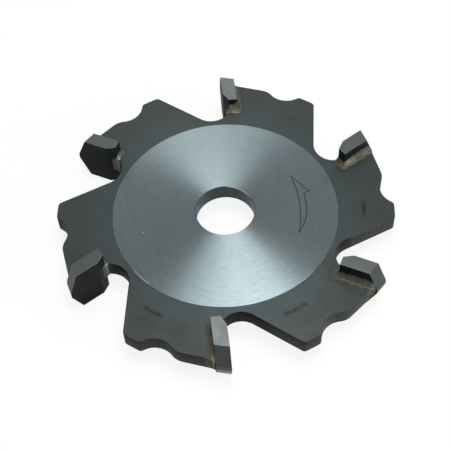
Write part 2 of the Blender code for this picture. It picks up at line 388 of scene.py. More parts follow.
def grow(piece, tree, identifiers, values):
    """Runs a geometry tree on the piece and keeps what it makes as the plain mesh."""
    modifier = piece.modifiers.new(tree.name, "NODES")
    modifier.node_group = tree
    for identifier, value in zip(identifiers, values):
        modifier[identifier] = value
    graph = bpy.context.evaluated_depsgraph_get()
    mesh = bpy.data.meshes.new_from_object(piece.evaluated_get(graph), depsgraph=graph)
    piece.modifiers.clear()
    piece.data = mesh
    mesh.name = piece.name


def finish_piece(piece, nodes):
    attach(piece, "root")
    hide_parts(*nodes)


def polar(radius, degrees_from_x):
    angle = radians(degrees_from_x)
    return Vector((radius * cos(angle), radius * sin(angle)))


def circle(radius, count):
    return [Vector((radius * cos(2.0 * pi * k / count), radius * sin(2.0 * pi * k / count)))
            for k in range(count)]


def signed_area(loop):
    return sum(loop[i - 1].cross(loop[i]) for i in range(len(loop))) / 2.0


def inset(loop, distance):
    """The loop moved inwards, towards its left side when it runs anticlockwise."""
    moved = []
    count = len(loop)
    for i, point in enumerate(loop):
        before = (point - loop[i - 1]).normalized()
        after = (loop[(i + 1) % count] - point).normalized()
        left_before = Vector((-before.y, before.x))
        left_after = Vector((-after.y, after.x))
        middle = (left_before + left_after).normalized()
        moved.append(point + middle * distance / max(middle.dot(left_after), SHARPEST_MITRE))
    return moved


def add_loop(bm, loop, z):
    return [bm.verts.new((point.x, point.y, z)) for point in loop]


def add_band(bm, lower, upper, material=0):
    count = len(lower)
    for i in range(count):
        j = (i + 1) % count
        face = bm.faces.new((lower[i], lower[j], upper[j], upper[i]))
        face.material_index = material


def fill_flat(bm, loops, material=0):
    """Fills the flat region that the loops bound."""
    edges = [bm.edges.get((loop[i - 1], loop[i])) or bm.edges.new((loop[i - 1], loop[i]))
             for loop in loops for i in range(len(loop))]
    made = bmesh.ops.triangle_fill(bm, edges=edges, use_beauty=True, use_dissolve=False)
    for item in made["geom"]:
        if isinstance(item, bmesh.types.BMFace):
            item.material_index = material


def shade(bm, sharpest):
    """Smooths every face and keeps an edge sharp at a flat face or a real corner."""
    for face in bm.faces:
        face.smooth = True
    for edge in bm.edges:
        flat = any(abs(face.normal.z) > FLAT_FACE for face in edge.link_faces)
        bent = len(edge.link_faces) == 2 and edge.calc_face_angle(0.0) > sharpest
        edge.smooth = not (flat or bent)


# Plate

FACE, LAND, EDGE, MARK, BORE = range(5)
LAND_CORNERS = 192
BORE_CORNERS = 96
# Fewest corners that mark a level of the CAD plate as its toothed face
FACE_LEVEL_CORNERS = 200
UPRIGHT = 0.1
ROUNDING_STEPS = 3
SHARP_BEND = radians(38.0)
# The arrow, in millimetres out and degrees round: where its tail, its notch and its head
# are, the corners of its barb, how far its outer side swells and its inner side dips
ARROW_TAIL, ARROW_NOTCH, ARROW_HEAD = -24.3, 12.1, 30.2
ARROW_TAIL_OUT, ARROW_HEAD_OUT, ARROW_LEAN = 26.4, 26.6, 0.2
ARROW_BARB = (29.7, 12.7), (27.85, 20.8)
ARROW_SWELL, ARROW_SWELL_PACE, ARROW_DIP = 1.25, 0.72, 1.1
ARROW_STEPS = 14


def plate_levels():
    """Heights of the plate's face and radii of the land and the bore, read from the frame."""
    bm = merged_copy("blade_body")
    heights = sorted({round(vert.co.z, 6) for vert in bm.verts if vert.co.z > 0.0})
    face = max(z for z in heights if z < LAND_TOP - SAME_POINT
               and sum(abs(v.co.z - z) < SAME_POINT for v in bm.verts) > FACE_LEVEL_CORNERS)
    on_land = [hypot(v.co.x, v.co.y) for v in bm.verts if v.co.z > LAND_TOP - SAME_POINT]
    bore = min(hypot(v.co.x, v.co.y) for v in bm.verts)
    bm.free()
    return face, max(on_land), min(on_land), bore


def rim_loop(face_height, land_radius):
    """The corners of the toothed rim on the plate's face, in order, anticlockwise."""
    bm = merged_copy("blade_body")
    links = {}
    for edge in bm.edges:
        ends = [v.co for v in edge.verts]
        wall = any(abs(face.normal.z) < UPRIGHT for face in edge.link_faces)
        level = all(abs(co.z - face_height) < SAME_POINT for co in ends)
        outside = all(hypot(co.x, co.y) > land_radius + MM for co in ends)
        if wall and level and outside:
            first, second = (v.index for v in edge.verts)
            links.setdefault(first, []).append(second)
            links.setdefault(second, []).append(first)
    bm.verts.ensure_lookup_table()
    start = min(links)
    order = [start, links[start][0]]
    while order[-1] != start:
        near = links[order[-1]]
        order.append(near[0] if near[0] != order[-2] else near[1])
    loop = [Vector(bm.verts[i].co.xy) for i in order[:-1]]
    bm.free()
    if signed_area(loop) < 0.0:
        loop.reverse()
    return loop


def arrow_outline():
    """The arrow that shows which way the blade turns: one barb, and a tail that runs out."""
    outline = []
    for k in range(ARROW_STEPS + 1):
        part = k / ARROW_STEPS
        swell = sin(pi * min(part * ARROW_SWELL_PACE, 0.5))
        outline.append(polar((ARROW_TAIL_OUT + ARROW_SWELL * swell) * MM,
                             ARROW_TAIL + (ARROW_NOTCH - ARROW_TAIL) * part))
    outline += [polar(out * MM, turn) for out, turn in ARROW_BARB]
    for k in range(ARROW_STEPS):
        part = k / ARROW_STEPS
        dip = sin(pi * part)
        outline.append(polar((ARROW_HEAD_OUT - ARROW_LEAN * part - ARROW_DIP * dip) * MM,
                             ARROW_HEAD + (ARROW_TAIL - ARROW_HEAD) * part))
    if signed_area(outline) < 0.0:
        outline.reverse()
    return outline


def plate_mesh(settings):
    face_height, land_radius, mouth_radius, bore_radius = plate_levels()
    rim = rim_loop(face_height, land_radius)
    rounding = settings.edge_rounding
    bm = bmesh.new()

    bends = [pi / 2.0 * k / ROUNDING_STEPS for k in range(ROUNDING_STEPS + 1)]
    levels = [(rounding * (1.0 - cos(bend)), face_height - rounding * (1.0 - sin(bend)))
              for bend in bends]
    heights = [(inset_by, -z) for inset_by, z in reversed(levels)] + levels
    rings = [add_loop(bm, inset(rim, inset_by), z) for inset_by, z in heights]
    for lower, upper in zip(rings, rings[1:]):
        add_band(bm, lower, upper, EDGE)

    step = settings.land_rounding
    throat_height = LAND_TOP - (mouth_radius - bore_radius)
    land = {}
    for side in (-1.0, 1.0):
        foot, edge, brow, mouth, throat = (
            add_loop(bm, circle(radius, corners), side * height)
            for radius, corners, height in (
                (land_radius, LAND_CORNERS, face_height),
                (land_radius, LAND_CORNERS, LAND_TOP - step),
                (land_radius - step, LAND_CORNERS, LAND_TOP),
                (mouth_radius, BORE_CORNERS, LAND_TOP),
                (bore_radius, BORE_CORNERS, throat_height)))
        add_band(bm, foot, edge, LAND)
        add_band(bm, edge, brow, LAND)
        add_band(bm, mouth, throat, BORE)
        fill_flat(bm, [rings[-1] if side > 0.0 else rings[0], foot], FACE)
        land[side] = (brow, mouth, throat)
    fill_flat(bm, land[-1.0][:2], LAND)
    add_band(bm, land[-1.0][2], land[1.0][2], BORE)

    outline = arrow_outline()
    half = settings.line_width / 2.0
    brow, mouth, _ = land[1.0]
    outer, inner, outer_floor, inner_floor = (
        add_loop(bm, inset(outline, inwards), LAND_TOP - depth)
        for depth in (0.0, settings.line_depth) for inwards in (-half, half))
    fill_flat(bm, [brow, mouth, outer], LAND)
    fill_flat(bm, [inner], LAND)
    for first, second in ((outer, outer_floor), (outer_floor, inner_floor), (inner_floor, inner)):
        add_band(bm, first, second, MARK)

    bmesh.ops.recalc_face_normals(bm, faces=bm.faces)
    shade(bm, SHARP_BEND)
    return to_mesh(bm, "blade_plate")


# Painted highlights along the edge of the land and on the mouth of the bore: the angle round
# the bore, how far off it fades out, how far it is full, in degrees, and its strength
LAND_GLINT = (-138.0, 7.0, 3.0, 0.8)
BORE_GLINT = (58.0, 34.0, 12.0, 0.9)
LAND_EDGE = 38.15 * MM
# A bright fleck on the land
FLECK = (-27.7 * MM, -7.6 * MM, LAND_TOP)
# Tones of the painted highlights; the land's tone also colours the bright fleck
LAND_GLINT_AND_FLECK_TONE = (0.62, 0.68, 0.68)
BORE_GLINT_TONE = (0.45, 0.48, 0.48)


def land_finish(settings):
    """Steel ground in circles round the bore, with short fine streaks, a bright fleck and a
    painted highlight along its edge.
    """
    material, shader, where = new_finish("ground_land", 0.30, 1.0,
                                         anisotropic=settings.brushing)
    fine = noise(ring_grain(where, 5200.0, 16.0), 1.0, 2.0, 0.6)
    broad = noise(ring_grain(where, 1500.0, 6.0), 1.0, 2.0, 0.5)
    haze = noise(where, 70.0, 3.0, 0.6)
    base = settings.land_colour
    grain = fine * 0.55 + broad * 0.45
    tone = mottled(grain, base, 0.84, 1.16, 0.32, 0.68)
    tone = mix(step_between(haze, 0.50, 0.70, 0.0, 0.45), tone, shaded(base, 1.12, 1.03, 0.98))
    tone = mix(step_between(haze, 0.48, 0.32, 0.0, 0.35), tone, shaded(base, 0.88, 0.94, 1.0))

    radius, _ = radius_and_direction(where)
    # A painted highlight along one stretch of the land's edge, joined with the bright fleck
    at_edge = step_between(radius, LAND_EDGE - 0.35 * MM, LAND_EDGE - 0.10 * MM)
    fleck = vector_calc("DISTANCE", where, FLECK)
    glint_and_fleck = calc("MAXIMUM", at_edge * sector(where, *LAND_GLINT),
                step_between(fleck, 0.20 * MM, 0.45 * MM, 0.6, 0.0))
    tone = mix(glint_and_fleck, tone, LAND_GLINT_AND_FLECK_TONE)
    paint(shader, tone, stretch(grain, 0.3, 0.7, 0.33, 0.27))
    bump(shader, fine, 0.04, 0.00002)
    ground_round(shader)
    return material


# The pocket that the flux stain spreads from, by two corners in millimetres across and out
# along the tooth, and how far the stain reaches, tooth by tooth
STAINED_POCKET = (2.6, 43.8), (7.0, 57.0)
HAZE_WIDTH = (0.60, 0.35, 0.20, 0.40, 1.50, 0.90)
# The scuff between each tooth and the next: how far past the middle it lies, millimetres
# out, half its length in degrees, its fade at the ends and sides, and its strength
SCUFF_TURN = radians(2.2)
SCUFF_OUT = (46.6, 45.6, 45.6, 45.3, 46.8, 47.4)
SCUFF_HALF = (3.0, 3.0, 3.4, 4.2, 2.6, 0.6)
SCUFF_END = radians(2.2)
SCUFF_SIDE = 0.2 * MM, 1.2 * MM
SCUFF_STRENGTH = (0.10, 0.0, 0.85, 0.90, 1.0, 0.35)


def scuff_strength(where, radius):
    """How dark the place is scuffed, seen from the middle between two teeth."""
    midway = field("ShaderNodeVectorRotate", {0: where, "Angle": -PITCH / 2.0},
                   rotation_type="Z_AXIS")
    _, _, _, folded, number = tooth_place(midway)
    arc = abs(folded - SCUFF_TURN) - by_tooth(number, SCUFF_HALF, radians(1.0))
    band = abs(radius - by_tooth(number, SCUFF_OUT, MM))
    smudge = (step_between(arc, 0.0, SCUFF_END, 1.0, 0.0)
              * step_between(band, *SCUFF_SIDE, 1.0, 0.0))
    patchy = stretch(noise(where, 700.0, 2.0, 0.6), 0.40, 0.60, 0.5, 1.0)
    return smudge * patchy * by_tooth(number, SCUFF_STRENGTH)


def face_finish(settings):
    """Dark blasted steel, bluer by the land, stained with flux round the pockets."""
    material, shader, where = new_finish("blasted_face", 0.52, 0.65, specular=0.25,
                                         anisotropic=0.45)
    across, along, radius, _, number = tooth_place(where)
    mottle = noise(where, 110.0, 4.0, 0.6)
    grit = noise(where, 2600.0, 2.0, 0.6)
    rings = noise(ring_grain(where, 1500.0, 3.0), 1.0, 2.0, 0.5)
    base = settings.face_colour
    tone = mix(step_between(radius, 40.0 * MM, 52.0 * MM),
               shaded(base, 1.10, 1.10, 1.18), shaded(base, 0.97, 0.93, 0.90))
    tone = mix(stretch(mottle, 0.3, 0.7, 0.35, 0.0), tone, shaded(base, 0.70))
    tone = mix(stretch(rings, 0.35, 0.65, 0.0, 0.22), tone, shaded(base, 1.25))

    ragged = noise(where, 420.0, 3.0, 0.6) - 0.5
    edge = (box_distance(across, along, *STAINED_POCKET) / by_tooth(number, HAZE_WIDTH)
            + ragged * (2.6 * MM))
    stain = step_between(edge, 0.4 * MM, 3.0 * MM, 0.85, 0.0)
    tone = mix(stain, tone, settings.haze_colour)
    scorch = step_between(abs(edge - 1.5 * MM), 0.0, 0.8 * MM, 0.40, 0.0)
    tone = mix(scorch, tone, shaded(base, 0.55))
    tone = mix(scuff_strength(where, radius), tone, shaded(base, 0.36))
    paint(shader, tone, stretch(mottle, 0.3, 0.7, 0.56, 0.46))
    bump(shader, grit, 0.25, 0.00002)
    ground_round(shader)
    return material


# The cut edge, tooth by tooth: where the painted shade of the gullet ends, in millimetres out, the
# painted light that lifts the rim beyond it, and how much braze is smeared on the rim behind the
# pocket
GULLET_SHADE_END = (50.0, 50.0, 50.0, 50.0, 45.5, 50.0)
GULLET_SHADE_FADE = 5.0 * MM
# How dark the painted shade makes the cut inside the gullet
GULLET_SHADE = (0.30, 0.31, 0.31)
RIM_LIGHT = (1.0, 1.0, 1.0, 1.0, 1.35, 1.0)
RIM_SMEAR = (0.5, 0.3, 0.3, 1.0, 0.7, 0.6)
# Where braze is smeared: two corners in millimetres across and out along the tooth
NOSE_SMEARED = (2.2, 43.4), (2.8, 44.4)
RIM_SMEARED = (5.6, 55.5), (7.6, 57.2)


def edge_finish(settings):
    """Laser cut steel with fine lines down the cut, smeared with braze by the pockets; painted
    shade darkens the gullets and painted light lifts one tooth's rim.
    """
    material, shader, where = new_finish("laser_cut_edge", 0.60, 0.15, specular=0.08)
    lines = noise(vector_calc("MULTIPLY", where, (1.0, 1.0, 0.06)), 2600.0, 3.0, 0.6)
    scale = noise(where, 300.0, 3.0, 0.6)
    base = settings.edge_colour
    tone = mottled(lines, base, 0.70, 1.30)
    tone = mix(step_between(scale, 0.5, 0.7, 0.0, 0.4), tone, shaded(base, 1.10, 1.02, 0.90))
    across, along, radius, _, number = tooth_place(where)
    # Painted shade on the cut inside the gullet, and painted light on the rim beyond it
    beyond = radius - by_tooth(number, GULLET_SHADE_END, MM)
    rim_lit = vector_calc("MULTIPLY", tone, by_tooth(number, RIM_LIGHT))
    tone = mix(step_between(beyond, -GULLET_SHADE_FADE, 0.0),
               mix(1.0, tone, GULLET_SHADE, "MULTIPLY"), rim_lit)
    for corners, amount in ((NOSE_SMEARED, 0.35), (RIM_SMEARED, by_tooth(number, RIM_SMEAR))):
        gap = box_distance(across, along, *corners) + scale * (1.2 * MM)
        smear = step_between(gap, 0.7 * MM, 2.0 * MM, 1.0, 0.0)
        tone = mix(smear * amount, tone, settings.smear_colour)
    paint(shader, tone)
    bump(shader, lines, 0.35, 0.00005)
    return material


def bore_finish(settings):
    """Reamed steel with fine lines running round the bore, and a painted highlight on one side of
    its mouth.
    """
    material, shader, where = new_finish("reamed_bore", 0.42, 0.75, specular=0.3)
    lines = noise(vector_calc("MULTIPLY", where, (60.0, 60.0, 4200.0)), 1.0, 2.0, 0.6)
    cloud = noise(where, 220.0, 3.0, 0.6)
    base = settings.bore_colour
    tone = mottled(lines, base, 0.78, 1.22)
    tone = mix(step_between(cloud, 0.50, 0.72, 0.0, 0.5), tone, shaded(base, 0.62))
    # A painted highlight on the rounded mouth, on one side of the bore only
    at_mouth = step_between(height_of(where), LAND_TOP - 0.22 * MM, LAND_TOP - 0.17 * MM)
    tone = mix(at_mouth * sector(where, *BORE_GLINT), tone, BORE_GLINT_TONE)
    paint(shader, tone, stretch(cloud, 0.3, 0.7, 0.38, 0.50))
    bump(shader, lines, 0.20, 0.00002)
    return material


def mark_finish(settings):
    """The dark burnt floor of the engraved line."""
    material, shader, where = new_finish("engraved_line", 0.60, 0.30, specular=0.2)
    burnt = noise(where, 3000.0, 2.0, 0.6)
    paint(shader, mottled(burnt, settings.mark_colour, 0.7, 1.4),
          stretch(burnt, 0.3, 0.7, 0.5, 0.7))
    return material


class SAWBLADE_OT_plate(bpy.types.Operator):
    """Makes the toothed plate with its ground land, its bore and the engraved arrow"""
    bl_idname = "sawblade.plate"
    bl_label = "Make Plate"

    def execute(self, context):
        settings = context.scene.saw_plate
        finishes = [face_finish(settings), land_finish(settings), edge_finish(settings),
                    mark_finish(settings), bore_finish(settings)]
        piece = new_piece(plate_mesh(settings), finishes)
        finish_piece(piece, ["blade_body"])
        return {"FINISHED"}


# Carbide tips

SIDE, RAKE, FLANK, BACK = range(4)
GROUND = "ground"


def grinding(normal):
    """Which face of the first tip points this way."""
    if abs(normal.z) > 0.9:
        return SIDE
    if normal.y > 0.5:
        return FLANK
    return RAKE if normal.x < -0.9 else BACK


def tip_mesh(settings):
    """The first tip with fine rounded edges; each face says how it was ground."""
    bm = merged_copy(TIPS[0])
    sort = bm.faces.layers.int.new(GROUND)
    for face in bm.faces:
        face[sort] = grinding(face.normal)
    bmesh.ops.bevel(bm, geom=bm.edges[:], offset=settings.edge_rounding, segments=2,
                    profile=0.5, affect="EDGES")
    return to_mesh(bm, "carbide_tips")


def tip_ring_tree(finishes):
    """Repeats a tip round the bore axis and gives each face the finish of its grinding."""
    tree, given, last, identifiers = new_group("ring_of_tips", "Tip", {"Count": "NodeSocketInt"})
    pitch = calc("DIVIDE", 2.0 * pi, given["Count"])
    index = source(tree, "GeometryNodeInputIndex")
    copies = field("GeometryNodeInstanceOnPoints", {
        "Points": field("GeometryNodePoints", {"Count": given["Count"]}),
        "Instance": given["Tip"],
        "Rotation": field("ShaderNodeCombineXYZ", {"Z": index * pitch})})
    geometry = field("GeometryNodeRealizeInstances", {0: copies})
    sort = source(tree, "GeometryNodeInputNamedAttribute", inputs={"Name": GROUND},
                  data_type="INT")
    for number, finish in enumerate(finishes):
        chosen = field("FunctionNodeCompare", {2: sort, 3: number}, data_type="INT",
                       operation="EQUAL")
        geometry = field("GeometryNodeSetMaterial", {"Geometry": geometry,
                         "Selection": chosen, "Material": finish})
    feed(last, 0, geometry)
    return tree, identifiers


def carbide_finish(name, base, roughness, metallic, specular, grain, turned=0.0):
    """Diamond ground carbide with fine grinding lines; turned ones run round the bore axis."""
    material, shader, where = new_finish(name, roughness, metallic, specular, turned)
    across, along, *_ = tooth_place(where)
    own = field("ShaderNodeCombineXYZ", {"X": across, "Y": along, "Z": height_of(where)})
    lines = noise(vector_calc("MULTIPLY", own, grain), 1.0, 2.0, 0.6)
    cloud = noise(where, 170.0, 3.0, 0.6)
    tone = mix(stretch(cloud, 0.35, 0.65, 0.0, 0.6), mottled(lines, base, 0.86, 1.14),
               shaded(base, 1.30))
    paint(shader, tone, stretch(cloud, 0.3, 0.7, roughness + 0.05, roughness - 0.04))
    bump(shader, lines, 0.12, 0.00002)
    if turned:
        ground_round(shader)
    return material


class SAWBLADE_OT_tips(bpy.types.Operator):
    """Makes the carbide tips, each ground to a V, and sets them round the blade"""
    bl_idname = "sawblade.tips"
    bl_label = "Make Carbide Tips"

    def execute(self, context):
        settings = context.scene.saw_tips
        finishes = [
            carbide_finish("carbide_side", settings.side_colour, 0.40, 0.9, 0.4,
                           (900.0, 5200.0, 900.0), turned=0.75),
            # The rake face and the blank back are darkened partly by their grinding and partly
            # with painted shade
            carbide_finish("carbide_rake_and_shade", settings.rake_colour_and_shade, 0.55, 0.0, 0.05,
                           (900.0, 900.0, 5200.0)),
            carbide_finish("carbide_flank", settings.flank_colour, 0.45, 0.3, 0.20,
                           (5200.0, 900.0, 900.0)),
            carbide_finish("carbide_blank_and_shade", settings.back_colour_and_shade, 0.60, 0.0, 0.10,
                           (900.0, 5200.0, 5200.0)),
        ]
        piece = new_piece(tip_mesh(settings))
        grow(piece, *tip_ring_tree(finishes), [settings.count])
        finish_piece(piece, TIPS)
        return {"FINISHED"}


# Braze

# The braze tooth by tooth, anticlockwise from the first, in millimetres: how far it spreads
# from the tip and how high it climbs it, each at the keys 0 to 3 of its run: the pocket's
# front corner, its inner corner, the middle of the back and the rim
SPREAD = ((1.3, 1.9, 2.1, 1.7), (1.5, 1.6, 1.4, 1.2), (1.2, 1.3, 1.3, 1.0),
          (1.0, 1.2, 1.3, 1.5), (1.3, 2.0, 2.4, 2.4), (1.6, 2.1, 2.3, 2.3))
CLIMB = ((3.8, 5.0, 1.7, 1.0), (2.0, 1.6, 1.2, 1.2), (1.8, 1.2, 1.0, 0.8),
         (1.2, 1.0, 1.0, 1.4), (1.2, 2.2, 2.6, 2.4), (2.4, 1.9, 2.8, 3.2))
# Pits and clean spots of the braze: tooth, place across and out along it, half width
# across and half length along the tooth, strength
# The pits are sunk into the braze, and their floors are darkened with painted shade
PITS = ((1, 3.6, 43.7, 0.42, 0.42, 1.0), (1, 6.4, 52.5, 0.5, 0.8, 0.9),
        (6, 6.6, 51.4, 0.35, 0.6, 0.7), (6, 6.5, 48.3, 0.25, 1.4, 0.4),
        (5, 6.4, 52.0, 0.40, 1.6, 0.6), (5, 6.9, 48.0, 0.35, 1.3, 0.6),
        (4, 6.7, 50.0, 0.4, 1.0, 0.6))
CLEAN = ((1, 4.4, 43.5, 2.6, 2.2, 0.60), (2, 3.2, 44.0, 0.9, 0.9, 1.0),
         (3, 2.2, 44.1, 1.2, 1.2, 0.8), (6, 6.4, 47.2, 1.6, 3.0, 0.30),
         (4, 6.0, 56.6, 2.0, 2.0, 0.5), (5, 6.2, 57.0, 1.6, 1.6, 0.3))
PIT_DEPTH = 0.18 * MM
SEAT = 0.93 * MM
NOSE_RUN = 1.8 * MM
NOSE_REACH = 0.12 * MM, 0.60 * MM
STATION_STEP = 0.22 * MM
FOOT_STEPS, CORNER_STEPS = 10, 12
# How far the key runs along the base, round the inner corner, and on to the rim
BASE_KEYS, CORNER_KEYS, BACK_KEYS = 0.85, 0.3, 1.85
STILL = Vector((0.0, 0.0))
FILLET_POINTS = 12
FILLET_SWEEP = 0.85
WALL_SHARES = (0.93, 0.62, 0.22)
WALL_HOLLOW = 0.15 * MM
WALL_SOFTNESS = 0.25
THINNEST = 0.02 * MM
BURIED = 0.06 * MM
# How much the spread and the climb vary along the run
SPREAD_WOBBLE, CLIMB_WOBBLE = 0.09, 0.10
# Beyond the rim the braze narrows up the tip's back: share of its width, and millimetres out
RIM_FILLET = ((0.80, 0.12), (0.55, 0.30), (0.32, 0.55), (0.12, 0.85))
# Towards the rim it climbs less: from which key, over how much of it, and by what share
RIM_FROM, RIM_RUN, RIM_FALL = 2.6, 0.4, 0.35
# Up the nose the braze climbs less than behind the pocket's front corner, and less still
# where the seam is thinner than this
NOSE_SHARE = 0.55
FULL_SEAM = 0.75 * MM


def tip_corners():
    """Heel, nose foot, base corner and back shoulder of the first tip, seen along the axis."""
    bm = merged_copy(TIPS[0])
    top = max(v.co.z for v in bm.verts)
    spots = sorted({(round(v.co.x, 6), round(v.co.y, 6)) for v in bm.verts
                    if v.co.z > top * 0.9}, key=lambda spot: spot[1])
    bm.free()
    foot, base = sorted(spots[:2])
    heel = min(spots[2:4])
    shoulder = max(spots[2:])
    return [Vector(spot) for spot in (heel, foot, base, shoulder)]


def first_pocket(face_height, land_radius):
    """The pocket's front corner, the rim's crest behind it, and the rim's way out there."""
    rim = rim_loop(face_height, land_radius)
    _, foot, _, shoulder = tip_corners()
    corner = min(rim, key=lambda point: (point - foot).length)
    number = max((k for k, point in enumerate(rim) if 0.0 < point.x - shoulder.x < 3.0 * MM),
                 key=lambda k: rim[k].y)
    crest = rim[number]
    behind = max(rim[number - 1], rim[(number + 1) % len(rim)], key=lambda point: point.x)
    along = (behind - crest).normalized()
    return corner, crest, Vector((-along.y, along.x))


def bead_stations(corner, crest, rim_out):
    """Places along the tip's outline, from up the nose to the rim.

    Each is (place, way out of the tip, key along the run, reach of the seam, how far the
    plate carries it, from 0 in front of the pocket to 1, slide along the tip per distance).
    """
    heel, foot, base, shoulder = tip_corners()
    alongs = [(last - first).normalized()
              for first, last in ((heel, foot), (foot, base), (base, shoulder))]
    nose_out, base_out, back_out = (Vector((along.y, -along.x)) for along in alongs)
    nose_along, _, back_along = alongs
    end = base + back_along * ((crest - base).dot(rim_out) / back_along.dot(rim_out))
    mitre = -back_out.dot(rim_out) / back_along.dot(rim_out)
    to_corner = (corner - foot).length
    open_part = nose_out.angle(corner - foot) / nose_out.angle(base_out)
    stations = []

    def add(spot, out, key, reach=SEAT, carried=1.0, slide=STILL):
        stations.append((spot, out, key, reach, carried, slide))

    def parts(first, last):
        count = max(2, ceil((last - first).length / STATION_STEP))
        return [k / count for k in range(count + 1)]

    start = foot - nose_along * NOSE_RUN
    thin, full = NOSE_REACH
    for part in parts(start, foot)[:-1]:
        add(start.lerp(foot, part), nose_out, 0.0, thin + (full - thin) * part ** 1.5, 0.0)
    for k in range(FOOT_STEPS + 1):
        part = k / FOOT_STEPS
        out = nose_out.slerp(base_out, part)
        if part < open_part:
            add(foot, out, 0.0, full + (to_corner - full) * part / open_part, 0.0)
        else:
            add(foot, out, 0.0, SEAT / out.dot(base_out), (part - open_part) / (1.0 - open_part))
    for part in parts(foot, base)[1:-1]:
        add(foot.lerp(base, part), base_out, BASE_KEYS * part)
    for k in range(CORNER_STEPS + 1):
        part = k / CORNER_STEPS
        add(base, base_out.slerp(back_out, part), BASE_KEYS + CORNER_KEYS * part)
    for part in parts(base, end)[1:]:
        add(base.lerp(end, part), back_out, BASE_KEYS + CORNER_KEYS + BACK_KEYS * part,
            slide=back_along * mitre * max(0.0, 2.0 * part - 1.0))
    return stations


def tip_flank():
    """A place on the first tip's upper flank and the flank's way out."""
    bm = merged_copy(TIPS[0])
    flank = max((face for face in bm.faces if face.normal.y > 0.5), key=lambda f: f.normal.z)
    spot, out = flank.calc_center_median(), flank.normal.copy()
    bm.free()
    return spot, out


def value_at(key, values):
    """A value along the run, eased from one given value to the next."""
    step = min(int(key), len(values) - 2)
    ease = key - step
    ease = ease * ease * (3.0 - 2.0 * ease)
    return (values[step] + (values[step + 1] - values[step]) * ease) * MM


def bead_section(reach, spread, climb, face_height, carried):
    """The braze's section from top to bottom: (distance from the tip, height, softness)."""
    foot = face_height - BURIED
    points = []
    for k in range(FILLET_POINTS + 1):
        angle = pi / 2.0 * k / FILLET_POINTS
        points.append(((spread + BURIED) * (1.0 - cos(angle)) ** FILLET_SWEEP - BURIED,
                       foot + climb * (1.0 - sin(angle)), sin(2.0 * angle)))
    hollow = 0.0 if carried > 0.0 else WALL_HOLLOW
    for part in WALL_SHARES:
        points.append((max(reach - hollow * (1.0 - part ** 2), THINNEST), foot * part,
                       WALL_SOFTNESS))
    return points + [(distance, -z, softness) for distance, z, softness in reversed(points)]


def wave_at(k, number):
    """A slow uneven wave along the run, from -1 to 1, which each tooth has its own way."""
    return 0.6 * sin(0.33 * k + 2.1 * number) + 0.4 * sin(0.71 * k + 4.3 * number)


def station_section(station, spreads, climbs, wobble, face_height):
    """The braze's section at a station of one tooth."""
    _, _, key, reach, carried, _ = station
    spread = value_at(key, spreads) * (1.0 + SPREAD_WOBBLE * wobble)
    spread = reach + (max(spread, reach) - reach) * carried
    up_nose = min(1.0, reach / FULL_SEAM)
    climb = value_at(key, climbs) * (1.0 + CLIMB_WOBBLE * wobble) * up_nose
    climb *= NOSE_SHARE + (1.0 - NOSE_SHARE) * carried
    climb *= 1.0 - RIM_FALL * max(0.0, key - RIM_FROM) / RIM_RUN
    return bead_section(reach, spread, climb, face_height, carried)


def spot_strength(spots, number, flat):
    """How deep a place lies in the spots of one tooth, from 0 to 1."""
    depth = 0.0
    for tooth, across, along, half_width, half_length, strength in spots:
        if tooth == number:
            far = hypot((flat.x / MM - across) / half_width, (flat.y / MM - along) / half_length)
            depth = max(depth, strength * (1.0 - far * far))
    return depth


def braze_mesh():
    """The braze of all teeth: a seam in each pocket with a fillet up both sides of the tip."""
    face_height, land_radius, _, _ = plate_levels()
    corner, crest, rim_out = first_pocket(face_height, land_radius)
    stations = bead_stations(corner, crest, rim_out)
    flank_spot, flank_out = tip_flank()
    bm = bmesh.new()
    layers = [bm.verts.layers.float.new(name) for name in ("softness", "pit_and_shade", "clean")]

    def add_ring(number, station, section, narrow=1.0, lift=0.0):
        spot, out, *_, slide = station
        turn = Matrix.Rotation((number - 1) * PITCH, 2)
        ring = []
        for distance, z, softness in section:
            distance = (distance + BURIED) * narrow - BURIED
            z *= 0.5 + 0.5 * narrow
            flat = spot + out * distance + slide * distance + rim_out * lift
            proud = (Vector((*flat, abs(z))) - flank_spot).dot(flank_out) + BURIED
            if proud > 0.0:
                flat.y -= proud / flank_out.y
            pit_and_shade = spot_strength(PITS, number, flat) if z > 0.0 else 0.0
            clean = spot_strength(CLEAN, number, flat)
            sunk = PIT_DEPTH * pit_and_shade * softness
            turned = turn @ (flat - out * sunk)
            vert = bm.verts.new((turned.x, turned.y, z - sunk))
            for layer, value in zip(layers, (softness, pit_and_shade, clean)):
                vert[layer] = value
            ring.append(vert)
        return ring

    for number, (spreads, climbs) in enumerate(zip(SPREAD, CLIMB), start=1):
        rings = []
        for k, station in enumerate(stations):
            section = station_section(station, spreads, climbs, wave_at(k, number), face_height)
            rings.append(add_ring(number, station, section))
        for narrow, lift in RIM_FILLET:
            rings.append(add_ring(number, station, section, narrow, lift * MM))
        for first, second in zip(rings, rings[1:]):
            add_band(bm, first, second)
        bm.faces.new(rings[0])
        bm.faces.new(rings[-1])
    bmesh.ops.recalc_face_normals(bm, faces=bm.faces)
    for face in bm.faces:
        face.smooth = True
    return to_mesh(bm, "braze_beads")


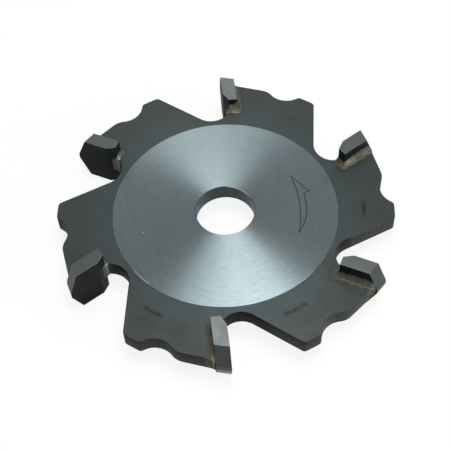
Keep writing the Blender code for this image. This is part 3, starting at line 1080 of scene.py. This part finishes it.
def lump_tree(finish):
    """Raises lumps and sinks pits in the free surface of the braze."""
    names = ("Lump Size", "Lump Height", "Pit Size", "Pit Depth")
    tree, given, last, identifiers = new_group("lumps_and_pits", "Braze",
                                               dict.fromkeys(names, "NodeSocketFloat"))
    where = source(tree, "GeometryNodeInputPosition")
    soft = source(tree, "GeometryNodeInputNamedAttribute", inputs={"Name": "softness"},
                  data_type="FLOAT")
    lumps, pits = (
        (noise(where, calc("DIVIDE", 1.0, given[size]), detail, 0.5) - 0.45)
        * (given[amount] * 2.0)
        for size, amount, detail in ((*names[:2], 1.0), (*names[2:], 2.0)))
    shift = scaled(source(tree, "GeometryNodeInputNormal"), (lumps + pits) * soft)
    moved = field("GeometryNodeSetPosition", {"Geometry": given["Braze"], "Offset": shift})
    whole = field("GeometryNodeRealizeInstances", {0: moved})
    feed(last, 0, field("GeometryNodeSetMaterial", {"Geometry": whole, "Material": finish}))
    return tree, identifiers


def own_value(shader, name):
    return source(shader.id_data, "ShaderNodeAttribute", "Fac", attribute_name=name)


def braze_finish(settings):
    """Dull olive braze, burnt where it thins out and clean in a few spots."""
    material, shader, where = new_finish("cast_braze", 0.50, 0.30, specular=0.35)
    softness, clean, pit_and_shade = (own_value(shader, name) for name in ("softness", "clean", "pit_and_shade"))
    patch = noise(where, 430.0, 4.0, 0.6, 0.4)
    speck = noise(where, 2200.0, 2.0, 0.6)
    flux, alloy, bright = settings.flux_colour, settings.alloy_colour, settings.bright_colour
    tone = mix(step_between(patch, 0.36, 0.62, 0.50, 1.0), flux, alloy)
    kept_clean = step_between(clean, 0.0, 0.8) * stretch(patch, 0.35, 0.60, 0.60, 1.0)
    # The last coat darkens the pits: painted shade
    for amount, coat in ((kept_clean, bright),
                         (step_between(softness, 0.0, 0.45, 0.60, 0.0), flux),
                         (step_between(speck, 0.62, 0.72, 0.0, 0.20), bright),
                         (step_between(speck, 0.38, 0.30, 0.0, 0.3), shaded(flux, 0.4)),
                         (step_between(pit_and_shade, 0.1, 0.8, 0.0, 0.75), shaded(flux, 0.25))):
        tone = mix(amount, tone, coat)
    paint(shader, tone, stretch(patch, 0.35, 0.65, 0.62, 0.42))
    bump(shader, speck, 0.3, 0.00005)
    return material


class SAWBLADE_OT_braze(bpy.types.Operator):
    """Makes the lumpy braze that fills each pocket and climbs the tip seated in it"""
    bl_idname = "sawblade.braze"
    bl_label = "Make Braze"

    def execute(self, context):
        settings = context.scene.saw_braze
        piece = new_piece(braze_mesh())
        grow(piece, *lump_tree(braze_finish(settings)),
             [settings.lump_size, settings.lump_height, settings.pit_size, settings.pit_depth])
        finish_piece(piece, JOINTS)
        return {"FINISHED"}


# Studio

# Height of the walls, as the sine of the angle at which they are seen
CEILING_FROM = sin(radians(34.0))
CEILING_TO = sin(radians(60.0))
TABLE_RADIUS = 4.0
# How far from the blade's axis the shadow begins to fade, and where it is gone
SHADOW_FADE = 0.12, 0.40
PAPER_LEVEL = 0.96
# A little over white, so that the table stays white beside the shadow
TABLE_GLOW = 1.02
# Each lamp's place, its width and its length; it points at the blade
KEY_LAMP = (0.056, 0.050, 0.60), 0.40, 0.30
SIDE_LAMP = (0.60, -0.28, 0.20), 0.40, 0.30


def grey(level):
    return (level, level, level, 1.0)


def mix_shaders(amount, first, second):
    return field("ShaderNodeMixShader", {0: amount, 1: first, 2: second})


def background_ray(tree):
    """One where the background is seen, directly or in metal and glass."""
    rays = add_node(tree, "ShaderNodeLightPath").outputs
    straight, glossy, through = (Field(rays[f"Is {kind} Ray"])
                                 for kind in ("Camera", "Glossy", "Transmission"))
    return calc("MAXIMUM", calc("MAXIMUM", straight, glossy), through)


def table(settings, z):
    """A round white table whose shadow stays soft and fades out far from the blade."""
    bm = bmesh.new()
    bmesh.ops.create_circle(bm, cap_ends=True, segments=64, radius=TABLE_RADIUS)
    mesh = to_mesh(bm, "table")
    mesh.transform(Matrix.Translation((0.0, 0.0, z)))
    material = bpy.data.materials.new("white_table")
    material.use_nodes = True
    tree = material.node_tree
    tree.nodes.clear()
    radius, _ = radius_and_direction(source(tree, "ShaderNodeTexCoord", "Object"))
    depth = step_between(radius, *SHADOW_FADE, settings.shadow_depth, 0.0)
    paper, dim = (source(tree, "ShaderNodeBsdfDiffuse", inputs={"Color": grey(level)})
                  for level in (PAPER_LEVEL, settings.table_bounce))
    glow = source(tree, "ShaderNodeEmission", inputs={"Strength": TABLE_GLOW})
    both = mix_shaders(background_ray(tree), dim, mix_shaders(depth, glow, paper))
    add_node(tree, "ShaderNodeOutputMaterial", {"Surface": both})
    new_piece(mesh, [material])


def room(settings):
    """White walls under a grey ceiling, with an even light that is dimmer than they look."""
    world = bpy.data.worlds.new("studio_room")
    bpy.context.scene.world = world
    world.use_nodes = True
    tree = world.node_tree
    tree.nodes.clear()
    height = height_of(source(tree, "ShaderNodeTexCoord", "Generated"))
    seen = step_between(height, CEILING_FROM, CEILING_TO, 1.0, settings.ceiling_level)
    dim = source(tree, "ShaderNodeBackground", inputs={"Color": grey(settings.room_level)})
    white = field("ShaderNodeBackground", {"Color": grey(1.0), "Strength": seen})
    both = mix_shaders(background_ray(tree), dim, white)
    add_node(tree, "ShaderNodeOutputWorld", {"Surface": both})


def lamp(name, power, spot, width, depth):
    light = bpy.data.lights.new(name, "AREA")
    light.shape = "RECTANGLE"
    light.size = width
    light.size_y = depth
    light.energy = power
    aim = (-Vector(spot)).to_track_quat("-Z", "Y").to_matrix().to_4x4()
    new_item(name, light).matrix_world = Matrix.Translation(spot) @ aim


def camera():
    data = bpy.data.cameras.new("photo_camera")
    data.sensor_width = 36.0
    data.lens = VIEW_LENS_MM
    data.clip_start = 0.01
    item = new_item("photo_camera", data)
    item.matrix_world = (Matrix.Translation(VIEW_SPOT)
                         @ Matrix.Rotation(VIEW_TURN, 4, "Z")
                         @ Matrix.Rotation(VIEW_TILT, 4, "X")
                         @ Matrix.Rotation(VIEW_ROLL, 4, "Z"))
    bpy.context.scene.camera = item


class SAWBLADE_OT_studio(bpy.types.Operator):
    """Sets the camera, the white table, the room and the lamps"""
    bl_idname = "sawblade.studio"
    bl_label = "Set Studio"

    def execute(self, context):
        settings = context.scene.saw_studio
        context.scene.view_settings.view_transform = "Standard"
        camera()
        table(settings, CAD_BOX[0][2])
        room(settings)
        lamp("key_lamp", settings.key_strength, *KEY_LAMP)
        lamp("side_lamp", settings.side_strength, *SIDE_LAMP)
        return {"FINISHED"}


# Panel, registration and the run

OPERATORS = (SAWBLADE_OT_plate, SAWBLADE_OT_tips, SAWBLADE_OT_braze, SAWBLADE_OT_studio)
SETTINGS = {"saw_plate": PlateSettings, "saw_tips": TipSettings, "saw_braze": BrazeSettings,
            "saw_studio": StudioSettings}


class SAWBLADE_PT_panel(bpy.types.Panel):
    """Lists the blade's pieces with their settings"""
    bl_idname = "SAWBLADE_PT_panel"
    bl_label = "Grooving Saw Blade"
    bl_space_type = "VIEW_3D"
    bl_region_type = "UI"
    bl_category = "Saw Blade"

    def draw(self, context):
        for operator, holder in zip(OPERATORS, SETTINGS):
            box = self.layout.box()
            settings = getattr(context.scene, holder)
            for name in settings.__annotations__:
                box.prop(settings, name)
            box.operator(operator.bl_idname)


def register():
    for holder, group in SETTINGS.items():
        bpy.utils.register_class(group)
        setattr(bpy.types.Scene, holder, PointerProperty(type=group))
    for operator in OPERATORS:
        bpy.utils.register_class(operator)
    bpy.utils.register_class(SAWBLADE_PT_panel)


def unregister():
    bpy.utils.unregister_class(SAWBLADE_PT_panel)
    for operator in reversed(OPERATORS):
        bpy.utils.unregister_class(operator)
    for holder, group in SETTINGS.items():
        delattr(bpy.types.Scene, holder)
        bpy.utils.unregister_class(group)


def main():
    register()
    bpy.ops.sawblade.plate()
    bpy.ops.sawblade.tips()
    bpy.ops.sawblade.braze()
    bpy.ops.sawblade.studio()


if __name__ == "__main__":
    main()
